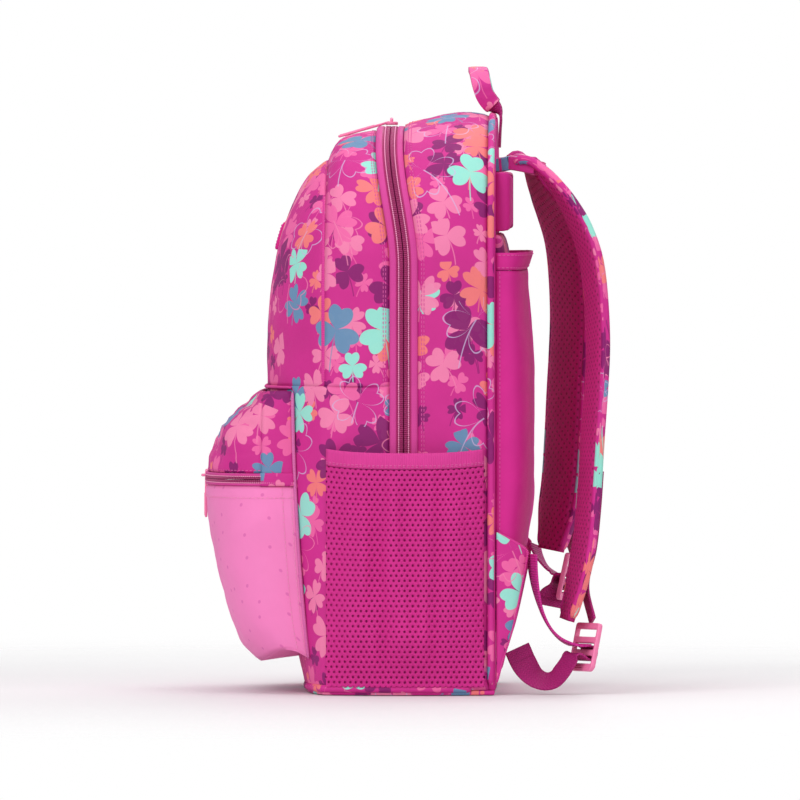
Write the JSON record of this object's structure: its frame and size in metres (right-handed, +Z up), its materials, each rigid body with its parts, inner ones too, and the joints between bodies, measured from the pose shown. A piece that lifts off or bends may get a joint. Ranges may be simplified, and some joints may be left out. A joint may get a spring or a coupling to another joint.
{
  "type": "school backpack",
  "caption": "Padded school backpack with a zipped main compartment, zipped front pocket, mesh side pockets, trolley sleeve, carry handle and two shoulder straps.",
  "frame": {"origin": "centre of the base's underside, where the backpack stands", "axes": "+Z up; -Y towards the front pocket, +Y towards the shoulder straps; X across the width"},
  "size_m": [0.3412, 0.32, 0.486],
  "materials": {
    "printed_fabric": "smooth polyester with an all-over clover print",
    "plain_fabric": "smooth plain polyester",
    "rose_fabric": "light polyester with small sparse dots",
    "mesh": "open knitted mesh",
    "binding": "folded binding tape",
    "webbing": "ribbed woven webbing",
    "zip_tape": "woven tape with a dark nylon coil",
    "slider_plastic": "moulded, satin gloss",
    "board": "plain sheet",
    "lining": "padded lining cloth"
  },
  "bodies": {
    "pack": {"rear_gusset": "printed_fabric", "lower_front_shell": "printed_fabric", "bottom_panel": "printed_fabric", "back_panel": "plain_fabric", "rear_piping": "binding", "base_board": "board", "back_board": "board", "laptop_divider": "lining", "zip_end_right": "zip_tape", "zip_end_left": "zip_tape", "zip_rear_half": "zip_tape", "pocket_panel": "rose_fabric", "pocket_zip_lower_tape": "zip_tape", "pocket_shoulder_right": "printed_fabric", "pocket_shoulder_left": "printed_fabric", "pocket_top_binding": "binding", "side_pocket_right": "mesh", "side_pocket_left": "mesh", "side_pocket_binding_right": "binding", "side_pocket_binding_left": "binding", "back_cushion": "printed_fabric", "yoke_pad": "plain_fabric", "trolley_sleeve": "plain_fabric", "trolley_sleeve_hem": "binding", "wing_right": "printed_fabric", "wing_left": "printed_fabric", "strap_root_right": "printed_fabric", "strap_root_left": "printed_fabric"},
    "main_flap": {"front_gusset": "printed_fabric", "front_panel": "printed_fabric", "zip_front_half": "zip_tape", "label_patch": "plain_fabric"},
    "main_slider_right": {"main_slider_right": "slider_plastic"},
    "main_pull_right": {"main_pull_right": "slider_plastic"},
    "main_slider_left": {"main_slider_left": "slider_plastic"},
    "main_pull_left": {"main_pull_left": "slider_plastic"},
    "pocket_lid": {"pocket_lid": "printed_fabric", "lid_zip_tape": "zip_tape"},
    "pocket_slider": {"pocket_slider": "slider_plastic"},
    "pocket_pull": {"pocket_pull": "slider_plastic"},
    "carry_handle": {"handle_webbing": "webbing", "handle_sleeve": "printed_fabric"},
    "strap_right": {"strap_pad_right": "printed_fabric", "strap_webbing_right": "webbing", "lower_webbing_right": "webbing"},
    "lock_right": {"ladder_lock_right": "slider_plastic", "webbing_tail_right": "webbing"},
    "strap_left": {"strap_pad_left": "printed_fabric", "strap_webbing_left": "webbing", "lower_webbing_left": "webbing"},
    "lock_left": {"ladder_lock_left": "slider_plastic", "webbing_tail_left": "webbing"}
  },
  "joints": [
    {"name": "main_flap_fold", "type": "hinge", "parent": "pack", "child": "main_flap", "pos_m": [0, -0.1055, 0.2383], "axis": [1, 0, 0], "range_deg": [0, 55]},
    {"name": "main_slider_right_travel", "type": "slide", "parent": "main_flap", "child": "main_slider_right", "axis": [1, 0, 0], "range_m": [0, 0.035]},
    {"name": "main_pull_right_lift", "type": "hinge", "parent": "main_slider_right", "child": "main_pull_right", "pos_m": [0.009, -0.012, 0.44158], "axis": [-1, 0, 0], "range_deg": [0, 100]},
    {"name": "main_slider_left_travel", "type": "slide", "parent": "main_flap", "child": "main_slider_left", "axis": [-1, 0, 0], "range_m": [0, 0.035]},
    {"name": "main_pull_left_lift", "type": "hinge", "parent": "main_slider_left", "child": "main_pull_left", "pos_m": [-0.009, -0.012, 0.44158], "axis": [-1, 0, 0], "range_deg": [0, 100]},
    {"name": "pocket_lid_lift", "type": "hinge", "parent": "pack", "child": "pocket_lid", "pos_m": [0, -0.1075, 0.2365], "axis": [-1, 0, 0], "range_deg": [0, 40]},
    {"name": "pocket_slider_travel", "type": "slide", "parent": "pocket_lid", "child": "pocket_slider", "axis": [1, 0, 0], "range_m": [0, 0.08]},
    {"name": "pocket_pull_lift", "type": "hinge", "parent": "pocket_slider", "child": "pocket_pull", "pos_m": [-0.04, -0.15514, 0.1625], "axis": [-1, 0, 0], "range_deg": [0, 85]},
    {"name": "carry_handle_tilt", "type": "hinge", "parent": "pack", "child": "carry_handle", "pos_m": [0, 0.0752, 0.422], "axis": [-1, 0, 0], "range_deg": [0, 55]},
    {"name": "strap_right_swing", "type": "hinge", "parent": "pack", "child": "strap_right", "pos_m": [0.068, 0.087, 0.4075], "axis": [0.2293, 0.0455, -0.9723], "range_deg": [-5, 20], "deforming": ["strap_root_right"]},
    {"name": "lock_right_tilt", "type": "hinge", "parent": "strap_right", "child": "lock_right", "pos_m": [0.124, 0.1455, 0.05], "axis": [-0.7986, -0.6018, 0], "range_deg": [0, 9]},
    {"name": "strap_left_swing", "type": "hinge", "parent": "pack", "child": "strap_left", "pos_m": [-0.068, 0.087, 0.4075], "axis": [0.2293, -0.0455, 0.9723], "range_deg": [-12, 13], "deforming": ["strap_root_left"]},
    {"name": "lock_left_tilt", "type": "hinge", "parent": "strap_left", "child": "lock_left", "pos_m": [-0.124, 0.1314, 0.0973], "axis": [-0.9397, 0.342, 0], "range_deg": [0, 10]}
  ]
}
